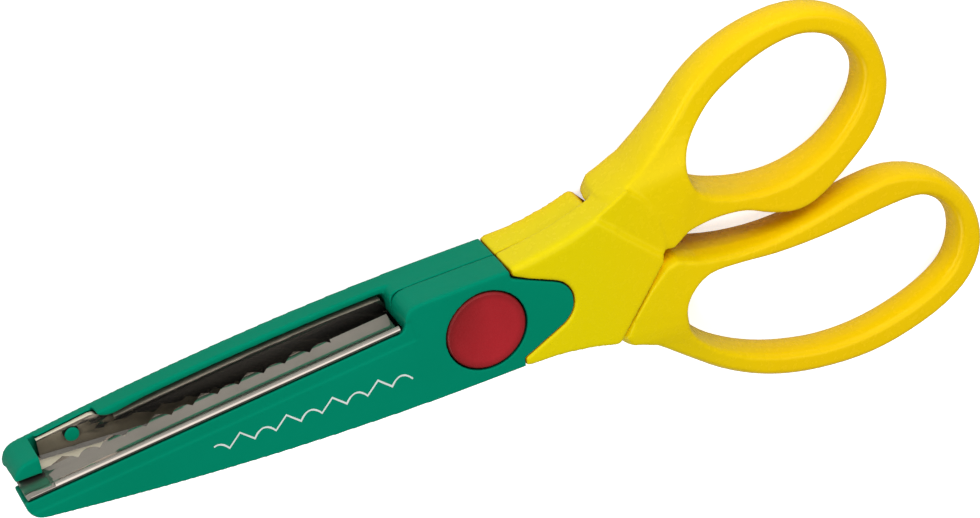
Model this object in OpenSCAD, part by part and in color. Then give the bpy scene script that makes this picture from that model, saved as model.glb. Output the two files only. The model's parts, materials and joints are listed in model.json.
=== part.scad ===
// Pinking shears: two mirrored halves on one pivot. Each half is a steel blade
// in a moulded carrier, joined to a moulded handle with a finger loop.
// +X runs to the handles, +Z is the face that looks up, and the origin is the
// pivot axis on the face that the shears rest on.

/* [Overall] */
// Thickness over both halves
total_t = 12; // [11:0.5:14]
// Half width of the blade carrier at the pivot
carrier_half_w = 8.85; // [8.6:0.05:9.6]
// Length of the carrier from the pivot to the flat of its nose
nose_x = 75; // [74.6:0.2:77]

/* [Cutting edge] */
// Wave repeat along the blade
wave_pitch = 7.55; // [6:0.05:9]
// Height of the pointed tooth
tooth_h = 1.7; // [1:0.1:2.2]
// Height of the rounded hump between two teeth
hump_h = 0.9; // [0.4:0.1:1.4]
// Part of one repeat taken by the hump
hump_part = 0.457; // [0.3:0.01:0.6]
// Distance from the pivot to the first repeat
wave_from = 23.55; // [20:0.05:26]
// Number of repeats
wave_count = 6; // [4:1:6]
// Gap between the two edges as they pass
edge_gap = 0.06; // [0.02:0.02:0.2]
// Thickness of the blade steel
steel_t = 0.6; // [0.5:0.1:0.8]

/* [Pivot] */
// Radius of the pivot barrel
barrel_r = 3; // [2.5:0.1:3.2]
// Running clearance of the rear half on the barrel
run_gap = 0.05; // [0.02:0.01:0.1]
// Radius of the pivot caps
cap_r = 6.6; // [6:0.1:6.8]
// Gap around each cap
cap_gap = 0.2; // [0.1:0.05:0.3]

/* [Handles] */
// Half thickness of a handle arm at its shoulder
arm_t = 5.6; // [5:0.1:5.8]
// Half thickness of a loop at its far end
loop_t = 3; // [2.6:0.1:4]
// Bulge of the loops' walls between their two faces
loop_bulge = 1.2; // [0.6:0.1:1.6]

/* [Hidden] */
half_t = total_t / 2;
play = 0.02;                 // gap left between touching pieces of one half
$fn = 96;

// Plan of one half, seen with its outer face towards the viewer
outline_drop = 0.00102;      // how fast the back edge curves in
edge_slope = 0.081;          // slope of the cutting edge line
edge_y0 = 6.6;               // height of the cutting edge line at the pivot
cover_back = 0.6;            // cover edge behind the cutting edge line
nose_in_x = -70.5;           // inner end of the nose block
nose_side = 0.9;             // the nose block stops short of the centre line
nose_rise = 1.2;             // and stands past the parting plane
tang_half_w = 4;             // half width of the blade's tang
screw_seat_r = 5.1;
window_x = -12.5;            // blade end of the solid pivot zone
seam_x = 5.3;                // seam between carrier and handle on the side
tongue_x = 10.5;             // centre of the tongue's round end
tongue_r = 4.35;
tongue_root = 7.3;           // half width of the tongue at the seam
tongue_z = 4.2;              // underside of the tongue
tip_round = 3;

// Heights in one half, measured from the parting plane outwards
rim_z = 2.5;                 // top of the carrier's back rim
rim_tip_z = 4.4;             // the same beside the tab
rim_t = 1.25;
cover_z = 5.05;              // underside of the cover
eye_z = 2.4;                 // top of the handle's eye
tang_z = 2.45;               // underside of the blade's tang
head_z = tang_z + steel_t + play;
cap_seat_z = 4.5;
washer_t = 0.46;
washer_r = 5.1;
tang_r = 5.2;
spring_h = 0.5;
head_t = 0.85;
hex_r = 5.2;                 // corner radius of the barrel's head
eye_r = 6.9;
eye_half_w = 6.4;
screw_r = 1.66;
bead_r = 0.53;               // radius of the rolled bead along the blade's bend
bead_z = 5.3;
spoon_from = -69.9;          // the bead ends here, and a plain tip goes on
wall_hollow = 0.55;          // depth of the hollow between bead and cutting edge
lip_w = 0.3;                 // upturned lip along the blade's back edge
lip_z = 2.85;
lip_tab_z = 3.75;
corner_r = 1.3;              // corner of the pivot zone above the rim
band_w = 2.8;                // lowered band beside the cover edge
band_drop = 0.12;
floor_tilt = 0.15;           // the blade floor falls away from its bend
tab_x = -69.5;               // end of the blade's tab
tab_to = -61;
tab_neck = -57.4;
tab_in = 0.4;                // tab edge inside the carrier's back edge
floor_in = 2.2;              // floor edge inside the carrier's back edge
stake = [-64.1, -2.6];
stake_r = 0.95;
stake_head_r = 1.2;
stake_head_z = 3.2;
stake_head_h = 0.4;

shoulder_a = [22.25, -10.35];
shoulder_b = [30.8, 0.3];
shoulder_gap = 0.2;

function back_y(x) = -(carrier_half_w - outline_drop * x * x);
function edge_y(x) = edge_y0 + edge_slope * x;

// Height of the cutting edge inside one repeat, for the front half
wave_mid = 0.7;
function tooth(u) = tooth_h * (1 - abs(2 * (u - hump_part) / (1 - hump_part) - 1));
function hump(u) = hump_h * (1 - pow(2 * u / hump_part - 1, 2));
function wave_z(u) = wave_mid - (u < hump_part ? hump(u) : tooth(u));
// Breakpoints inside one repeat: the hump as a smooth arc, then the tooth's tip
wave_steps = [for (k = [0:6]) k * hump_part / 6.001, hump_part, (1 + hump_part) / 2];
wave_line = [for (n = [0:wave_count - 1], u = wave_steps)
    [wave_from + (n + u) * wave_pitch, wave_z(u)]];
wave_end = wave_from + wave_count * wave_pitch;

// A smooth closed curve through the points p, n steps between two points
function mix4(a, b, c, d, t) = 0.5 * (2 * b + (c - a) * t
    + (2 * a - 5 * b + 4 * c - d) * t * t + (3 * b - a - 3 * c + d) * t * t * t);
function curve(p, n) = let (m = len(p)) [for (i = [0:m - 1], k = [0:n - 1])
    mix4(p[(i + m - 1) % m], p[i], p[(i + 1) % m], p[(i + 2) % m], k / n)];

// Half thickness of a handle, falling from the arm to the far end of its loop
function loop_half(p) = let (s = (p[0] + abs(p[1])) * 0.7071)
    loop_t + (arm_t - loop_t) * exp(-pow(max(0, s - 26) / 15, 1.35));

// One cross-section of a loop bar from o to h: flat faces and barrel-shaped walls
function bar_section(o, h) =
    let (w = norm(h - o), d = (h - o) / w, c = loop_half(o + (h - o) / 2),
         bulge = min(loop_bulge, 0.4 * w), top = 75)
    [for (a = [-top : 25 : top]) let (u = bulge * (1 - cos(a)) / (1 - cos(top)))
        [each (o + d * u), c * sin(a) / sin(top)],
     for (a = [top : -25 : -top]) let (u = w - bulge * (1 - cos(a)) / (1 - cos(top)))
        [each (o + d * u), c * sin(a) / sin(top)]];

// Outer edge and hole edge of each loop, as matching points around it
thumb_outer = [[21.8, 11.6], [28.6, 16.3], [35, 22], [39.9, 27], [45.8, 30.8], [52.7, 32.9], [60.2, 33.1],
    [66.9, 30.6], [71.9, 25.9], [74.4, 19.5], [74.4, 13.4], [71.5, 7.5], [66.8, 3.3], [61, -0.5],
    [56.3, -1.7], [51.2, -0.3], [46.9, 1.9], [41.5, 2.7], [35.8, 2.4], [30.6, 1]];
thumb_hole = [[38, 15], [38.9, 17.7], [41, 20.4], [44.2, 23.3], [48.5, 25.6], [53.6, 27.6], [59.2, 28.3],
    [64, 26.8], [67.4, 23.8], [69.6, 19.2], [68.9, 14.8], [66.2, 11], [62.4, 7.9], [57.8, 6],
    [53.5, 5.3], [49, 5.6], [44.8, 6.6], [41.2, 8.2], [38.9, 10.2], [37.9, 12.6]];
finger_outer = [[21.8, 11.2], [27.2, 15], [33.1, 20.4], [38.8, 25.4], [45, 29.3], [51.5, 31.9], [58.8, 33.4],
    [66.5, 33.8], [74, 32.6], [81.3, 30], [86.4, 26.1], [88.9, 20.5], [88.3, 13.7], [85, 8],
    [80.3, 3.8], [74, 1.5], [67, 1.8], [59.5, 3.2], [51.5, 3.9], [44, 3.3], [37, 1.7], [30.6, 0.4]];
finger_hole = [[34.6, 12.5], [35.6, 16.3], [38.9, 20.1], [43, 22.9], [47.8, 25.3], [53, 27.1], [59, 28.4],
    [65.5, 28.6], [72, 27.6], [78, 25.6], [82.3, 22.7], [84.1, 18.5], [83.9, 14.2], [81.8, 10.5],
    [78, 7.9], [72.5, 7.6], [65.5, 8.1], [58.5, 8.4], [51, 8.1], [43.8, 7], [38.6, 6.6], [35.2, 8.9]];

green = [0, 0.51, 0.38];
yellow = [0.9, 0.8, 0];
steel = [0.75, 0.74, 0.72];

// The two halves are one design: the rear one is turned over about the X axis
module front_place() { translate([0, 0, half_t]) children(); }
module rear_place() { translate([0, 0, half_t]) rotate([180, 0, 0]) children(); }
module slab(z0, z1) { translate([0, 0, z0]) linear_extrude(z1 - z0) children(); }
module post(r, z0, z1) { translate([0, 0, z0]) cylinder(r = r, h = z1 - z0); }

// Plan of the carrier: curved back edge, round nose, straight cover edge, full pivot zone
module carrier_plan() {
    nose_y = back_y(-nose_x + tip_round) + tip_round;
    polygon([
        for (x = [seam_x : -4 : -nose_x + tip_round + 2]) [x, back_y(x)],
        for (a = [265 : -17 : 180]) [-nose_x + tip_round + tip_round * cos(a), nose_y + tip_round * sin(a)],
        [-nose_x + 0.2, edge_y(-nose_x) - cover_back],
        [window_x - 2.4, edge_y(window_x - 2.4) - cover_back],
        for (a = [270 : 22.5 : 360]) [window_x - 1.5 + 1.5 * cos(a), edge_y(window_x - 2.4) - cover_back + 1.5
            + 1.5 * sin(a)],
        for (a = [180 : -18 : 90])
            [window_x + 2.2 + 2.2 * cos(a), -back_y(window_x) - 2.2 + 2.2 * sin(a)],
        for (x = [-8 : 4 : 4]) [x, -back_y(x)],
        [seam_x, -back_y(seam_x)]]);
}

module tongue_plan(grow) {
    flank = 24;              // direction of the tongue's straight side
    polygon([
        [seam_x - 6, -tongue_root - grow],
        [seam_x, -tongue_root - grow],
        for (a = [-90 + flank : 12 : 90 - flank])
            [tongue_x + (tongue_r + grow) * cos(a), (tongue_r + grow) * sin(a)],
        [seam_x, tongue_root + grow],
        [seam_x - 6, tongue_root + grow]]);
}

module eye_plan(grow) {
    circle(r = eye_r + grow);
    translate([0, -eye_half_w - grow]) square([seam_x + 1, 2 * (eye_half_w + grow)]);
}

// One half of the blade carrier, with its outer face at half_t
module carrier(head_hex) {
    difference() {
        union() {
            slab(0, half_t) carrier_plan();
            slab(tongue_z, half_t) tongue_plan(0);
            slab(-nose_rise, 1) intersection() {
                carrier_plan();
                translate([-nose_x, -10]) square([nose_x + nose_in_x, 10 - nose_side]);
            }
        }
        // open blade channel, with the back rim left standing
        difference() {
            translate([nose_in_x, -12, -1]) cube([window_x - nose_in_x, 30, cover_z + 1]);
            slab(rim_z, half_t) rim_plan();
            slab(rim_tip_z, half_t) thin_rim_plan();
        }
        // rounded corner of the pivot zone above the rim
        slab(-1, rim_z) difference() {
            translate([window_x - 0.1, back_y(window_x) - 1]) square([corner_r + 0.1, corner_r + 1]);
            translate([window_x + corner_r, back_y(window_x) + corner_r]) circle(r = corner_r);
        }
        // lowered band along the cover edge
        slab(half_t - band_drop, half_t + 1) translate([0, edge_y0]) rotate([0, 0, atan(edge_slope)])
            translate([-nose_x - 2, -band_w]) square([nose_x + window_x + 3, band_w + 1]);
        // the nose is cut back beside the other half's nose
        translate([-nose_x - 1, -nose_side, -2]) cube([nose_x + nose_in_x + 1.01, 12, cover_z + 2]);
        // pocket for the handle's eye and the blade's tang
        slab(-1, head_z) eye_plan(0.1);
        translate([window_x - 1, -tang_half_w - 0.2, -1]) cube([8, 2 * tang_half_w + 0.4, cover_z + 1]);
        // seats for the pivot head and the cap
        if (head_hex) {
            translate([0, 0, 1]) rotate([0, 0, 30]) cylinder(r = hex_r + 0.1, h = cap_seat_z, $fn = 6);
        } else {
            post(screw_seat_r, 1, cap_seat_z + 1);
        }
        post(cap_r + cap_gap, cap_seat_z, half_t + 1);
    }
    // moulded stake that holds the blade's tab
    translate(stake) {
        post(stake_r, stake_head_z, cover_z + 0.3);
        post(stake_head_r, stake_head_z, stake_head_z + stake_head_h);
    }
}

// The back rim, with a rounded end beside the blade's tab
module rim_plan() {
    end_l = 2.6;
    start = tab_to + 1;
    polygon([
        for (x = [start : 4 : window_x + 2]) [x, back_y(x) - 1],
        [window_x + 2, back_y(window_x) - 1],
        [window_x + 2, back_y(window_x) + rim_t],
        for (x = [window_x : -5 : start + end_l]) [x, back_y(x) + rim_t],
        for (a = [90 : 15 : 180]) [start + end_l + end_l * cos(a), back_y(start) + rim_t * sin(a)]]);
}

module thin_rim_plan() {
    t = tab_in - 0.05;
    polygon([
        for (x = [nose_in_x - 1 : 3 : tab_to + 1]) [x, back_y(x) - 1],
        for (x = [tab_to + 1 : -3 : nose_in_x - 1]) [x, back_y(x) + t]]);
}

// Blade: bent steel strip, floor under the cover and an upright wall with the cutting edge
module blade_plan() {
    polygon([
        [spoon_from, edge_y(spoon_from) + 1],
        [spoon_from, edge_y(spoon_from) + 0.1],
        [-73.8, edge_y(-73.8) + 0.1],
        [-74.4, edge_y(-74.4) - 0.3],
        [-74.4, edge_y(-74.4) - 0.7],
        [-73.8, edge_y(-73.8) - 1],
        [tab_x, edge_y(tab_x) - 1.1],
        [tab_x, back_y(tab_x) + tab_in],
        [tab_to, back_y(tab_to) + tab_in],
        for (k = [1:6]) let (u = k / 6, x = tab_to + u * (tab_neck - tab_to))
            [x, back_y(x) + tab_in + (floor_in - tab_in) * u * u * (3 - 2 * u)],
        for (x = [-52 : 6 : -16]) [x, back_y(x) + floor_in],
        [window_x - 0.7, back_y(window_x) + floor_in],
        [window_x - 0.1, back_y(window_x) + floor_in + 1],
        [window_x - 0.1, edge_y(window_x) - 1.5],
        [window_x - 1, edge_y(window_x) - 1.5],
        [window_x - 1, edge_y(window_x) + 1]]);
}

// Strip along the back edge of the blade from x0 to x1
module lip_plan(x0, x1) {
    intersection() {
        difference() {
            blade_plan();
            translate([0, lip_w]) blade_plan();
        }
        translate([x0, -12]) square([x1 - x0, 12]);
    }
}

// Section across the blade: wall, rolled bead and tilted floor
module blade_profile() {
    floor_w = 16;
    top = cover_z - play;
    far = top - floor_w * floor_tilt;
    inside = -wall_hollow - 0.75 * steel_t;
    polygon([
        [-0.04, -3],
        [-0.04, 0.1],
        [-0.9 * wall_hollow, 1.4],
        [-wall_hollow, 2.6],
        [-wall_hollow, 3.5],
        [-0.7 * wall_hollow, 4.1],
        for (a = [-50 : 20 : 210]) [bead_r * cos(a), bead_z + bead_r * sin(a)],
        [-floor_w, far],
        [-floor_w, far - steel_t],
        [inside - 0.5, top - steel_t - 0.2],
        [inside, top - steel_t - 0.7],
        [inside, -3]]);
}

// side is 1 for the front blade, -1 for the rear one, whose wave is the matching one
module blade(side, bore_gap) {
    difference() {
        union() {
            intersection() {
                slab(-4, half_t) blade_plan();
                translate([-80, edge_y(-80), 0]) rotate([0, 0, atan(edge_slope)]) rotate([90, 0, 90])
                    linear_extrude(80) blade_profile();
            }
            slab(lip_z, cover_z - 0.9) lip_plan(tab_neck, window_x);
            slab(lip_tab_z, cover_z - 0.6) lip_plan(tab_x, tab_neck);
            // tang: steps down under the pivot zone and ends in an eye
            intersection() {
                translate([-20, -tang_half_w, -1]) cube([16, 2 * tang_half_w, 8]);
                translate([0, 5, 0]) rotate([90, 0, 0]) linear_extrude(10) polygon([
                    [window_x - 1.3, 3.3], [window_x + 0.9, tang_z], [-3, tang_z],
                    [-3, tang_z + steel_t], [window_x + 1.2, tang_z + steel_t],
                    [window_x - 0.6, 4.6], [window_x - 1.3, 4.6]]);
            }
            post(tang_r, tang_z, tang_z + steel_t);
        }
        // everything beyond the wavy edge, a surface turned about the pivot
        rotate_extrude($fn = 180) polygon([
            [8, -5],
            [8, edge_gap / 2],
            [wave_from, edge_gap / 2],
            for (p = wave_line) [p[0], side * p[1] + edge_gap / 2],
            [wave_end, edge_gap / 2],
            [85, edge_gap / 2],
            [85, -5]]);
        post(barrel_r + bore_gap, -5, half_t);
        translate(stake) post(stake_r + 0.05, 0, half_t);
    }
}

// Handle: flat pivot zone half as thick as the shears, then a full thickness arm and loop
module pivot_zone_plan() {
    polygon([
        [seam_x + 0.1, back_y(seam_x) - 0.1], [12, -9.3], [17, -10.2], [20.4, -11.2], [21.3, -11.3],
        [21.9, -10.9], shoulder_a, shoulder_b, [30.6, 1.3], [20.3, 12], [15, 10.4], [10, 9.5],
        [seam_x + 0.1, 0.1 - back_y(seam_x)]]);
}

module arm_root_plan() {
    polygon([
        [20.2, 11.9], [21.8, 12.6], [24.2, 13.7], [26.3, 14.9], [28.8, 12.2], [31, 8], [31.6, 3],
        [30.9, 0.9], [28, 3]]);
}

module loop_ring(outer, hole) {
    steps = 3;
    o = curve(outer, steps);
    h = curve(hole, steps);
    n = len(o);
    m = 14;
    polyhedron(
        points = [for (i = [0:n - 1]) each bar_section(o[i], h[i])],
        faces = [for (i = [0:n - 1], j = [0:m - 1])
            let (a = i * m + j, b = i * m + (j + 1) % m, c = ((i + 1) % n) * m)
            each [[a, c + j, b], [b, c + j, c + (j + 1) % m]]],
        convexity = 6);
}

module handle(outer, hole, bore_gap) {
    d = shoulder_b - shoulder_a;
    difference() {
        union() {
            slab(0, half_t) pivot_zone_plan();
            slab(0, arm_t - 0.05) arm_root_plan();
            loop_ring(outer, hole);
        }
        // below the parting plane the arm starts at the other half's shoulder
        translate([shoulder_b[0], -shoulder_b[1], 0]) rotate([0, 0, atan2(-d[1], d[0])])
            translate([-60, -40, -8]) cube([90, 40 + shoulder_gap, 8]);
        slab(tongue_z - 0.1, half_t + 1) tongue_plan(0.15);
    }
    difference() {
        slab(0, eye_z) eye_plan(0);
        post(barrel_r + bore_gap, -1, half_t);
        post(washer_r + 0.1, -1, washer_t / 2 + play);
    }
}

module cap() {
    difference() {
        union() {
            post(cap_r, cap_seat_z + play, half_t - 0.3);
            translate([0, 0, half_t - 0.3]) cylinder(r1 = cap_r, r2 = cap_r - 0.3, h = 0.3);
        }
        post(cap_r - 1, cap_seat_z - 1, cap_seat_z + 0.4);
    }
}

module front_carrier() { color(green) front_place() carrier(true); }
module rear_carrier() { color(green) rear_place() carrier(false); }
module front_blade() { color(steel) front_place() blade(1, play); }
module rear_blade() { color(steel) rear_place() blade(-1, run_gap); }
module front_handle() { color(yellow) front_place() handle(thumb_outer, thumb_hole, play); }
module rear_handle() { color(yellow) rear_place() handle(finger_outer, finger_hole, run_gap); }
module front_cap() { color("firebrick") front_place() cap(); }
module rear_cap() { color("firebrick") rear_place() cap(); }

// Barrel nut: hexagonal head in the front carrier, smooth shank through both halves
module pivot_barrel() {
    color("silver") front_place() difference() {
        union() {
            translate([0, 0, head_z]) rotate([0, 0, 30]) cylinder(r = hex_r, h = head_t, $fn = 6);
            post(barrel_r, -head_z - spring_h, head_z + 0.1);
        }
        post(screw_r + play, -head_z - spring_h - 1, head_z + head_t - 0.3);
    }
}

module pivot_screw() {
    color("silver") rear_place() difference() {
        union() {
            post(4.9, head_z + spring_h + play, head_z + spring_h + head_t);
            post(screw_r, -2.5, head_z + spring_h + 0.2);
        }
        translate([-6, -0.5, head_z + spring_h + head_t - 0.4]) cube([12, 1, 1]);
    }
}

// Conical spring washer between the screw head and the rear blade's tang
module disc_spring() {
    inner = barrel_r + 0.15;
    outer = 4.8;
    low = head_z + play;
    high = head_z + spring_h - play;
    color("dimgray") rear_place() rotate_extrude() polygon([
        [inner, high - 0.2], [inner, high], [outer, low + 0.2], [outer, low]]);
}

module thrust_washer() {
    color("ivory") front_place() difference() {
        post(washer_r, -washer_t / 2, washer_t / 2);
        post(barrel_r + 0.1, -1, 1);
    }
}

front_carrier();
rear_carrier();
front_blade();
rear_blade();
front_handle();
rear_handle();
front_cap();
rear_cap();
pivot_barrel();
pivot_screw();
disc_spring();
thrust_washer();
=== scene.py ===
import json
import math
import bmesh
import bpy
from mathutils import Matrix, Vector


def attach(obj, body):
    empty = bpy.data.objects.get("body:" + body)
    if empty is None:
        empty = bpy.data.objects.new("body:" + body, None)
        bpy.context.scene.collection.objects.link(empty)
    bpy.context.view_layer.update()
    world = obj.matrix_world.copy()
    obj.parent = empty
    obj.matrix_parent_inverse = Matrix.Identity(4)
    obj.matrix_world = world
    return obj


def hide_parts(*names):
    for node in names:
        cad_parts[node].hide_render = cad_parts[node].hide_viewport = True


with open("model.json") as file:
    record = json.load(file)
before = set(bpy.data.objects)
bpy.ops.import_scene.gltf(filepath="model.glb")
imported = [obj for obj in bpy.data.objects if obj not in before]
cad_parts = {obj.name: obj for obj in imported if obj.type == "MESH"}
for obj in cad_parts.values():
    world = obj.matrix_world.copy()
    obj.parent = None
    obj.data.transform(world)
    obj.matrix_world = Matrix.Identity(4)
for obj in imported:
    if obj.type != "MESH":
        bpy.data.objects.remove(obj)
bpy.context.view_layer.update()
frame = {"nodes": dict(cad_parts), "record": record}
MM = 0.001
PARTING = 6         # height of the plane between the halves, in mm
HAIR = 0.03         # gap left at the sliding faces, in mm
INK = 0.000015      # how far the printed line stands up, in metres
nodes = frame["nodes"]
scene = bpy.context.scene


# ---------------------------------------------------------------- node helpers

def new_material(name):
    mat = bpy.data.materials.new(name)
    mat.use_nodes = True
    tree = mat.node_tree
    tree.nodes.clear()
    out = tree.nodes.new("ShaderNodeOutputMaterial")
    bsdf = tree.nodes.new("ShaderNodeBsdfPrincipled")
    tree.links.new(bsdf.outputs["BSDF"], out.inputs["Surface"])
    return mat, tree, bsdf


def object_coords(tree, scale=(1, 1, 1)):
    coord = tree.nodes.new("ShaderNodeTexCoord")
    mapping = tree.nodes.new("ShaderNodeMapping")
    mapping.inputs["Scale"].default_value = scale
    tree.links.new(coord.outputs["Object"], mapping.inputs["Vector"])
    return mapping.outputs["Vector"]


def noise(tree, vector, scale, detail=4.0, rough=0.5):
    node = tree.nodes.new("ShaderNodeTexNoise")
    node.inputs["Scale"].default_value = scale
    node.inputs["Detail"].default_value = detail
    node.inputs["Roughness"].default_value = rough
    tree.links.new(vector, node.inputs["Vector"])
    return node.outputs["Fac"]


def remap(tree, value, low, high, from_low=0.3, from_high=0.7):
    node = tree.nodes.new("ShaderNodeMapRange")
    node.inputs["From Min"].default_value = from_low
    node.inputs["From Max"].default_value = from_high
    node.inputs["To Min"].default_value = low
    node.inputs["To Max"].default_value = high
    tree.links.new(value, node.inputs["Value"])
    return node.outputs["Result"]


def mix_colour(tree, fac, a, b):
    node = tree.nodes.new("ShaderNodeMix")
    node.data_type = "RGBA"
    if isinstance(fac, (int, float)):
        node.inputs["Factor"].default_value = fac
    else:
        tree.links.new(fac, node.inputs["Factor"])
    for socket, value in ((node.inputs[6], a), (node.inputs[7], b)):
        if isinstance(value, tuple):
            socket.default_value = (*value, 1)
        else:
            tree.links.new(value, socket)
    return node.outputs[2]


def bump(tree, bsdf, height, strength, distance):
    node = tree.nodes.new("ShaderNodeBump")
    node.inputs["Strength"].default_value = strength
    node.inputs["Distance"].default_value = distance
    tree.links.new(height, node.inputs["Height"])
    tree.links.new(node.outputs["Normal"], bsdf.inputs["Normal"])


# ---------------------------------------------------------------- materials

def painted_gap_shade(tree, colour, dark, distance, shut=0.35, clear=0.85):
    """Painted shade: the colour, going to a darker one inside narrow gaps and seams, where ambient
    occlusion finds them.
    """
    node = tree.nodes.new("ShaderNodeAmbientOcclusion")
    node.samples = 6
    node.inputs["Distance"].default_value = distance
    return mix_colour(tree, remap(tree, node.outputs["AO"], 0, 1, shut, clear), dark, colour)


def multiply(tree, a, b):
    node = tree.nodes.new("ShaderNodeMath")
    node.operation = "MULTIPLY"
    tree.links.new(a, node.inputs[0])
    tree.links.new(b, node.inputs[1])
    return node.outputs["Value"]


def position(tree):
    """X, Y and Z of the shaded point, in metres of the shared frame."""
    node = tree.nodes.new("ShaderNodeSeparateXYZ")
    tree.links.new(object_coords(tree), node.inputs["Vector"])
    return node.outputs


def moulded_plastic(name, colour, shade, rough, texture=0.25, glow=0.0, grain=2500, gloss=(1, 1, 1),
                    gap_shade=None, tone=None, level=0.5):
    """Injection-moulded plastic: slight flow variation, fine surface texture, a thin gloss, painted shade
    in narrow gaps, and the painted light and shade that tone adds.
    """
    mat, tree, bsdf = new_material(name)
    coords = object_coords(tree)
    flow = noise(tree, coords, 45, 3)
    body = mix_colour(tree, remap(tree, flow, 0, 1), colour, shade)
    # painted light and shade, from the tone function
    if tone:
        body = tone(tree, body)
    # painted shade: darker inside narrow gaps and seams
    if gap_shade:
        body = painted_gap_shade(tree, body, gap_shade, 0.0007)
    tree.links.new(body, bsdf.inputs["Base Color"])
    bsdf.inputs["Specular Tint"].default_value = (*gloss, 1)
    tree.links.new(remap(tree, noise(tree, coords, 900, 2), rough - 0.04, rough + 0.05),
                   bsdf.inputs["Roughness"])
    bsdf.inputs["Specular IOR Level"].default_value = level
    bsdf.inputs["Coat Weight"].default_value = 0.16 * level
    bsdf.inputs["Coat Roughness"].default_value = 0.12
    bsdf.inputs["Coat Tint"].default_value = (*gloss, 1)
    if glow:
        bsdf.inputs["Subsurface Weight"].default_value = glow
        bsdf.inputs["Subsurface Radius"].default_value = (1, 0.7, 0.15)
        bsdf.inputs["Subsurface Scale"].default_value = 0.0015
    bump(tree, bsdf, noise(tree, coords, grain, 3, 0.6), texture, 0.00004)
    return mat


def blade_steel(name, bright, dull, metal, rough_from, rough_to, shade_reach):
    """Stainless strip: long rolling lines along the blade, slight haze, faint stains, and painted shade in
    its cavity.
    """
    mat, tree, bsdf = new_material(name)
    along = object_coords(tree, (0.06, 1, 1))
    lines = noise(tree, along, 2600, 4, 0.7)
    haze = noise(tree, object_coords(tree), 140, 5, 0.6)
    tint = mix_colour(tree, remap(tree, haze, 0, 1), bright, dull)
    # painted shade: the steel is darkened where ambient occlusion finds walls close by
    tint = painted_gap_shade(tree, tint, tuple(0.15 * c for c in bright), shade_reach, 0.3, 0.85)
    tree.links.new(tint, bsdf.inputs["Base Color"])
    bsdf.inputs["Metallic"].default_value = metal
    tree.links.new(remap(tree, lines, rough_from, rough_to), bsdf.inputs["Roughness"])
    bump(tree, bsdf, lines, 0.08, 0.00002)
    return mat


def turned_steel(name):
    mat, tree, bsdf = new_material(name)
    coords = object_coords(tree)
    tree.links.new(mix_colour(tree, remap(tree, noise(tree, coords, 300), 0, 1),
                              (0.5, 0.5, 0.5), (0.4, 0.4, 0.41)), bsdf.inputs["Base Color"])
    bsdf.inputs["Metallic"].default_value = 1
    bsdf.inputs["Roughness"].default_value = 0.3
    bump(tree, bsdf, noise(tree, coords, 1500), 0.2, 0.00002)
    return mat


def yellow_painted_light(tree, body):
    """Painted light and shade: greener on the thick flat pivot zone and more orange along the thin loops,
    standing in for light through the plastic, and painted orange shade where parts are close.
    """
    # painted light: below 18 mm along X the yellow is painted greener, blending into the loop colour by 50
    # mm
    body = mix_colour(tree, remap(tree, position(tree)["X"], 0, 1, 0.018, 0.05), (0.655, 0.545, 0.0), body)
    # painted shade: more orange where ambient occlusion within 9 mm finds the other handle or a recess
    return painted_gap_shade(tree, body, (0.74, 0.33, 0.0), 0.009, 0.12, 0.52)


def red_painted_shade(tree, body):
    """Painted shade on the cap's face, as on a slightly domed face: darker round the edge and on its far
    side.
    """
    place = position(tree)
    # painted shade: darker towards low X and high Y, the cap's far side
    far_side_shade = multiply(tree, remap(tree, place["X"], 1, 0.25, -0.006, 0.001),
                   remap(tree, place["Y"], 0.45, 1, -0.002, 0.006))
    body = mix_colour(tree, far_side_shade, body, (0.15, 0.006, 0.006))
    flat = object_coords(tree, (1, 1, 0))
    length = tree.nodes.new("ShaderNodeVectorMath")
    length.operation = "LENGTH"
    tree.links.new(flat, length.inputs[0])
    # painted shade: darker round the cap's rim
    return mix_colour(tree, remap(tree, length.outputs["Value"], 0, 0.65, 0.0052, 0.0066), body,
                      (0.13, 0.006, 0.006))


green = moulded_plastic("green_plastic", (0.0, 0.192, 0.11), (0.0, 0.18, 0.10), 0.34, 0.12,
                        gloss=(0.08, 1, 0.8), gap_shade=(0.0, 0.03, 0.018), level=0.1)
yellow = moulded_plastic("yellow_plastic", (0.78, 0.52, 0.0), (0.76, 0.50, 0.0), 0.25, 0.03, 0,
                         gloss=(1, 0.9, 0.2), gap_shade=(0.34, 0.14, 0.0), tone=yellow_painted_light)
red = moulded_plastic("red_plastic", (0.40, 0.014, 0.022), (0.33, 0.010, 0.016), 0.42, 1.0, 0, 5000,
                      gloss=(1, 0.6, 0.6), gap_shade=(0.06, 0.01, 0.005), tone=red_painted_shade)
washer = moulded_plastic("washer_plastic", (0.8, 0.79, 0.72), (0.76, 0.75, 0.68), 0.5)
ink = moulded_plastic("printed_ink", (0.62, 0.66, 0.64), (0.5, 0.55, 0.53), 0.5, 0.4)
steel = blade_steel("blade_steel", (0.66, 0.615, 0.545), (0.55, 0.51, 0.45), 0.93, 0.05, 0.12, 0.012)
ground_steel = blade_steel("ground_steel", (0.80, 0.73, 0.57), (0.70, 0.63, 0.48), 0.25, 0.35, 0.5, 0.002)
pivot_steel = turned_steel("pivot_steel")
PAINT = {"green_plastic": green, "yellow_plastic": yellow, "red_plastic": red,
         "washer_plastic": washer, "blade_steel": steel, "pivot_steel": pivot_steel}
SLOT = {part["node"]: part["material_slot"] for part in frame["record"]["subparts"]}
BODY = {node: body for body, members in frame["record"]["behaviour"]["bodies"].items() for node in members}


def paint(obj, material):
    obj.data.materials.clear()
    obj.data.materials.append(material)


for name, obj in nodes.items():
    paint(obj, PAINT[SLOT[name]])


# ---------------------------------------------------------------- pieces

def link(name, mesh):
    obj = bpy.data.objects.new(name, mesh)
    scene.collection.objects.link(obj)
    return obj


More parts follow.
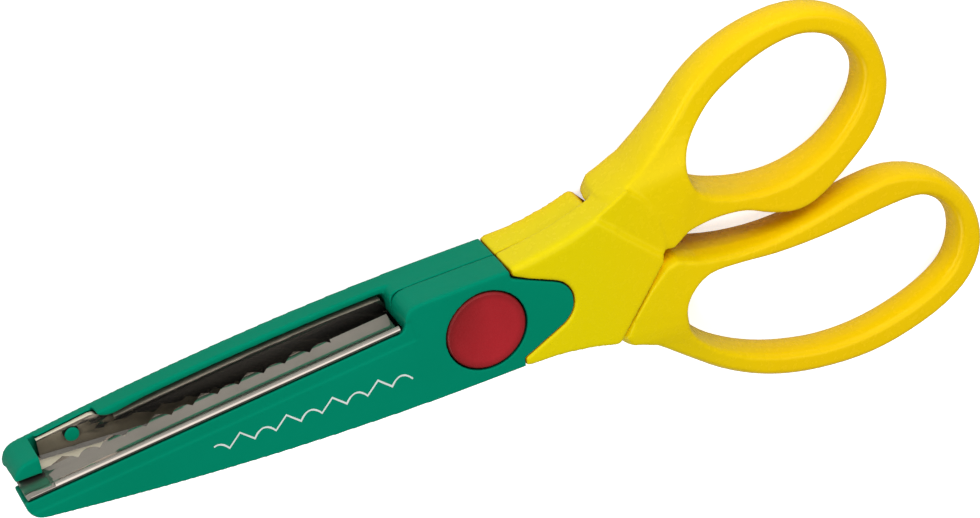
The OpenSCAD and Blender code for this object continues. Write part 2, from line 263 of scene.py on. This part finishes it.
def bake(obj):
    """Applies the object's modifiers to its mesh."""
    bpy.context.view_layer.update()
    done = bpy.data.meshes.new_from_object(obj.evaluated_get(bpy.context.evaluated_depsgraph_get()))
    obj.modifiers.clear()
    old = obj.data
    obj.data = done
    bpy.data.meshes.remove(old)


def ramp(value, start, full):
    return max(0.0, min(1.0, (value - start) / (full - start)))


def soft_places(x, y, z):
    """Where a moulding is rounded most, in the frame of one half: the pivot zone's long outer
    edge, the nose block beside the parting plane, and the top of the back rim."""
    edge = ramp(z, 3.2, 4.8) * ramp(y, 6.2, 7.6) * ramp(x, -13.5, -11.5) * ramp(-x, -21.5, -17)
    nose = ramp(-x, 70.4, 70.9) * ramp(-z, -2.6, -0.8) * ramp(-y, 0, 0.5)
    rim = 0.8 * ramp(-z, -4.2, -3.2) * ramp(z, 1.6, 1.9) * ramp(-y, 2, 3)
    rim *= ramp(x, -62, -60) * ramp(-x, 12, 13.5)
    return max(edge, nose, rim)


def copied(node, ending):
    """A copy of a CAD node, with its flat faces joined up."""
    obj = link(node + ending, nodes[node].data.copy())
    bm = bmesh.new()
    bm.from_mesh(obj.data)
    bmesh.ops.remove_doubles(bm, verts=bm.verts, dist=1e-7)
    bmesh.ops.dissolve_limit(bm, angle_limit=math.radians(0.5), verts=bm.verts, edges=bm.edges)
    bm.to_mesh(obj.data)
    bm.free()
    return obj


def in_place_of(obj, node):
    """The piece stands for the CAD node, on its body; the node itself is hidden."""
    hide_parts(node)
    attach(obj, BODY[node])


def moulded(node, voxel, rounds, soft=None):
    """A copy of a CAD node with rounded edges: remeshed finely and relaxed."""
    obj = copied(node, "_moulding")
    remesh = obj.modifiers.new("skin", "REMESH")
    remesh.mode = "VOXEL"
    remesh.voxel_size = voxel
    smooth = obj.modifiers.new("relax", "SMOOTH")
    smooth.iterations = rounds
    smooth.factor = 0.5
    bake(obj)
    sign = 1 if BODY[node] == "front_half" else -1
    if soft:
        group = obj.vertex_groups.new(name="soft")
        for vert in obj.data.vertices:
            x, y, z = vert.co.x / MM, sign * vert.co.y / MM, sign * (vert.co.z / MM - PARTING)
            weight = soft(x, y, z)
            if weight > 0.01:
                group.add([vert.index], min(1.0, weight), "REPLACE")
        smooth = obj.modifiers.new("soften", "SMOOTH")
        smooth.iterations = 45
        smooth.factor = 0.5
        smooth.vertex_group = "soft"
        bake(obj)
    # the faces that slide on the other half keep a hair's breadth from it
    for vert in obj.data.vertices:
        out = sign * (vert.co.z / MM - PARTING)
        if -2 * HAIR < out < HAIR and vert.co.x > -0.0135:
            vert.co.z = (PARTING + sign * HAIR) * MM
    for poly in obj.data.polygons:
        poly.use_smooth = True
    paint(obj, PAINT[SLOT[node]])
    in_place_of(obj, node)


def pressed(node, edge):
    """A copy of a sheet metal node with its sheared edges broken."""
    obj = copied(node, "_sheet")
    bevel = obj.modifiers.new("edge", "BEVEL")
    bevel.width = edge
    bevel.segments = 3
    bevel.limit_method = "ANGLE"
    bevel.angle_limit = math.radians(40)
    bake(obj)
    for poly in obj.data.polygons:
        poly.use_smooth = True
    obj.data.set_sharp_from_angle(angle=math.radians(32))
    paint(obj, PAINT[SLOT[node]])
    # the inner face of the wall is ground, not polished
    obj.data.materials.append(ground_steel)
    inward = -1 if BODY[node] == "front_half" else 1
    for poly in obj.data.polygons:
        if poly.normal.y * inward > 0.85:
            poly.material_index = 1
    in_place_of(obj, node)


def printed_wave():
    """The cutting pattern printed along the front cover: humps and pointed teeth."""
    pitch, start, count, low, hump, tooth = 7.55, -46.77, 4, -3.4, 1.25, 1.95
    line = []
    for k in range(count):
        for step in range(9):
            u = step / 9
            line.append((start + pitch * (k + 0.457 * u), low + hump * (1 - (2 * u - 1) ** 2)))
        line.append((start + pitch * (k + 0.457), low))
        line.append((start + pitch * (k + 0.73), low + tooth))
    for step in range(10):
        u = step / 9
        line.append((start + pitch * (count + 0.457 * u), low + hump * (1 - (2 * u - 1) ** 2)))
    line = line[3:]
    over = 2 * PARTING * MM + INK
    under = 2 * PARTING * MM - 0.00004
    bm = bmesh.new()
    rows = []
    for i, (x, y) in enumerate(line):
        before = Vector(line[max(0, i - 1)])
        after = Vector(line[min(len(line) - 1, i + 1)])
        here = Vector((x, y))
        a = (here - before).normalized() if i else (after - here).normalized()
        b = (after - here).normalized() if i < len(line) - 1 else a
        along = (a + b).normalized()
        side = Vector((-along.y, along.x)) * 0.17 / max(0.45, along.dot(a))
        wobble = 1 + 0.12 * math.sin(5.1 * i)
        rows.append([bm.verts.new((*((here + side * k * wobble) * MM), z))
                     for k, z in ((-1, under), (-0.8, over), (0.8, over), (1, under))])
    for a, b in zip(rows, rows[1:]):
        for k in range(3):
            bm.faces.new((a[k], b[k], b[k + 1], a[k + 1]))
    mesh = bpy.data.meshes.new("printed_wave")
    bm.to_mesh(mesh)
    bm.free()
    obj = link("printed_wave", mesh)
    paint(obj, ink)
    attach(obj, "front_half")


for side in ("front", "rear"):
    moulded(side + "_handle", 0.28 * MM, 7, soft_places)
    moulded(side + "_carrier", 0.15 * MM, 12, soft_places)
    moulded(side + "_cap", 0.12 * MM, 6)
    pressed(side + "_blade", 0.12 * MM)
printed_wave()


# ---------------------------------------------------------------- studio

def studio():
    table = bpy.data.meshes.new("table")
    s = 3.0
    table.from_pydata([(-s, -s, -0.0003), (s, -s, -0.0003), (s, s, -0.0003), (-s, s, -0.0003)],
                      [], [(0, 1, 2, 3)])
    floor = link("table", table)
    mat, tree, bsdf = new_material("table_top")
    coords = object_coords(tree)
    paper = mix_colour(tree, remap(tree, noise(tree, coords, 3), 0, 1),
                       (0.92, 0.92, 0.92), (0.90, 0.90, 0.90))
    path = tree.nodes.new("ShaderNodeLightPath")
    tree.links.new(mix_colour(tree, path.outputs["Is Glossy Ray"], paper, (0.33, 0.325, 0.315)),
                   bsdf.inputs["Base Color"])
    bsdf.inputs["Roughness"].default_value = 0.9
    bsdf.inputs["Specular IOR Level"].default_value = 0
    # lit from below as well, so that only a faint shadow is left under the shears
    tree.links.new(mix_colour(tree, path.outputs["Is Camera Ray"], (0.0, 0.0, 0.0), (0.62, 0.62, 0.62)),
                   bsdf.inputs["Emission Color"])
    bsdf.inputs["Emission Strength"].default_value = 1
    paint(floor, mat)

    world = bpy.data.worlds.new("studio")
    scene.world = world
    world.use_nodes = True
    tree = world.node_tree
    back = tree.nodes["Background"]
    room = tree.nodes.new("ShaderNodeLightPath")
    way = tree.nodes.new("ShaderNodeTexCoord")
    split = tree.nodes.new("ShaderNodeSeparateXYZ")
    tree.links.new(way.outputs["Generated"], split.inputs["Vector"])
    # what reflections see: a dim room, paler on the window side, with the light bank overhead
    pale = remap(tree, split.outputs["Y"], 0.03, 0.6, 0.15, 0.7)
    overhead = multiply(tree, remap(tree, split.outputs["Z"], 0, 1, 0.70, 0.80),
                        remap(tree, split.outputs["Y"], 0, 1, -0.36, -0.2))
    seen = mix_colour(tree, overhead, pale, (1.45, 1.36, 1.34))
    left = multiply(tree, remap(tree, split.outputs["X"], 1, 0, -0.7, -0.45),
                    multiply(tree, remap(tree, split.outputs["Z"], 0, 1, 0.0, 0.12),
                             remap(tree, split.outputs["Z"], 1, 0, 0.32, 0.5)))
    seen = mix_colour(tree, left, seen, (3.2, 3.15, 3.0))
    # the tent is white, and reflections see it dimmer, so that the plastics keep their colour
    tree.links.new(mix_colour(tree, room.outputs["Is Glossy Ray"], (0.45, 0.45, 0.45), seen),
                   back.inputs["Color"])
    back.inputs["Strength"].default_value = 1

    def softbox(name, at, size, power, look=(0, 0, 0)):
        light = bpy.data.lights.new(name, "AREA")
        light.energy = power
        light.size = size
        obj = bpy.data.objects.new(name, light)
        scene.collection.objects.link(obj)
        obj.location = at
        obj.rotation_euler = (Vector(look) - Vector(at)).to_track_quat("-Z", "Y").to_euler()
        obj.visible_glossy = False

    softbox("window", (0.25, 0.75, 0.48), 0.45, 5.5)
    softbox("top", (-0.45, 0.1, 0.8), 0.4, 4)


def camera():
    """Viewing angle: from beyond the thumb loop, looking down on the front face, slightly rolled."""
    at = Vector((-129.7, 262.5, 400.4)) * MM
    look = Vector((4.55, 8.22, 6.0)) * MM
    roll = math.radians(10.25)
    forward = (look - at).normalized()
    up = Vector((0, 1, 0))
    up = (up - forward * up.dot(forward)).normalized()
    right = forward.cross(up)
    up, right = (up * math.cos(roll) + right * math.sin(roll),
                 right * math.cos(roll) - up * math.sin(roll))
    data = bpy.data.cameras.new("camera")
    data.sensor_width = 36
    data.lens = 116.8
    data.clip_start = 0.01
    obj = bpy.data.objects.new("camera", data)
    scene.collection.objects.link(obj)
    rotation = Matrix((right, up, -forward)).transposed().to_4x4()
    obj.matrix_world = Matrix.Translation(at) @ rotation
    scene.camera = obj


studio()
camera()
scene.view_settings.view_transform = "Standard"
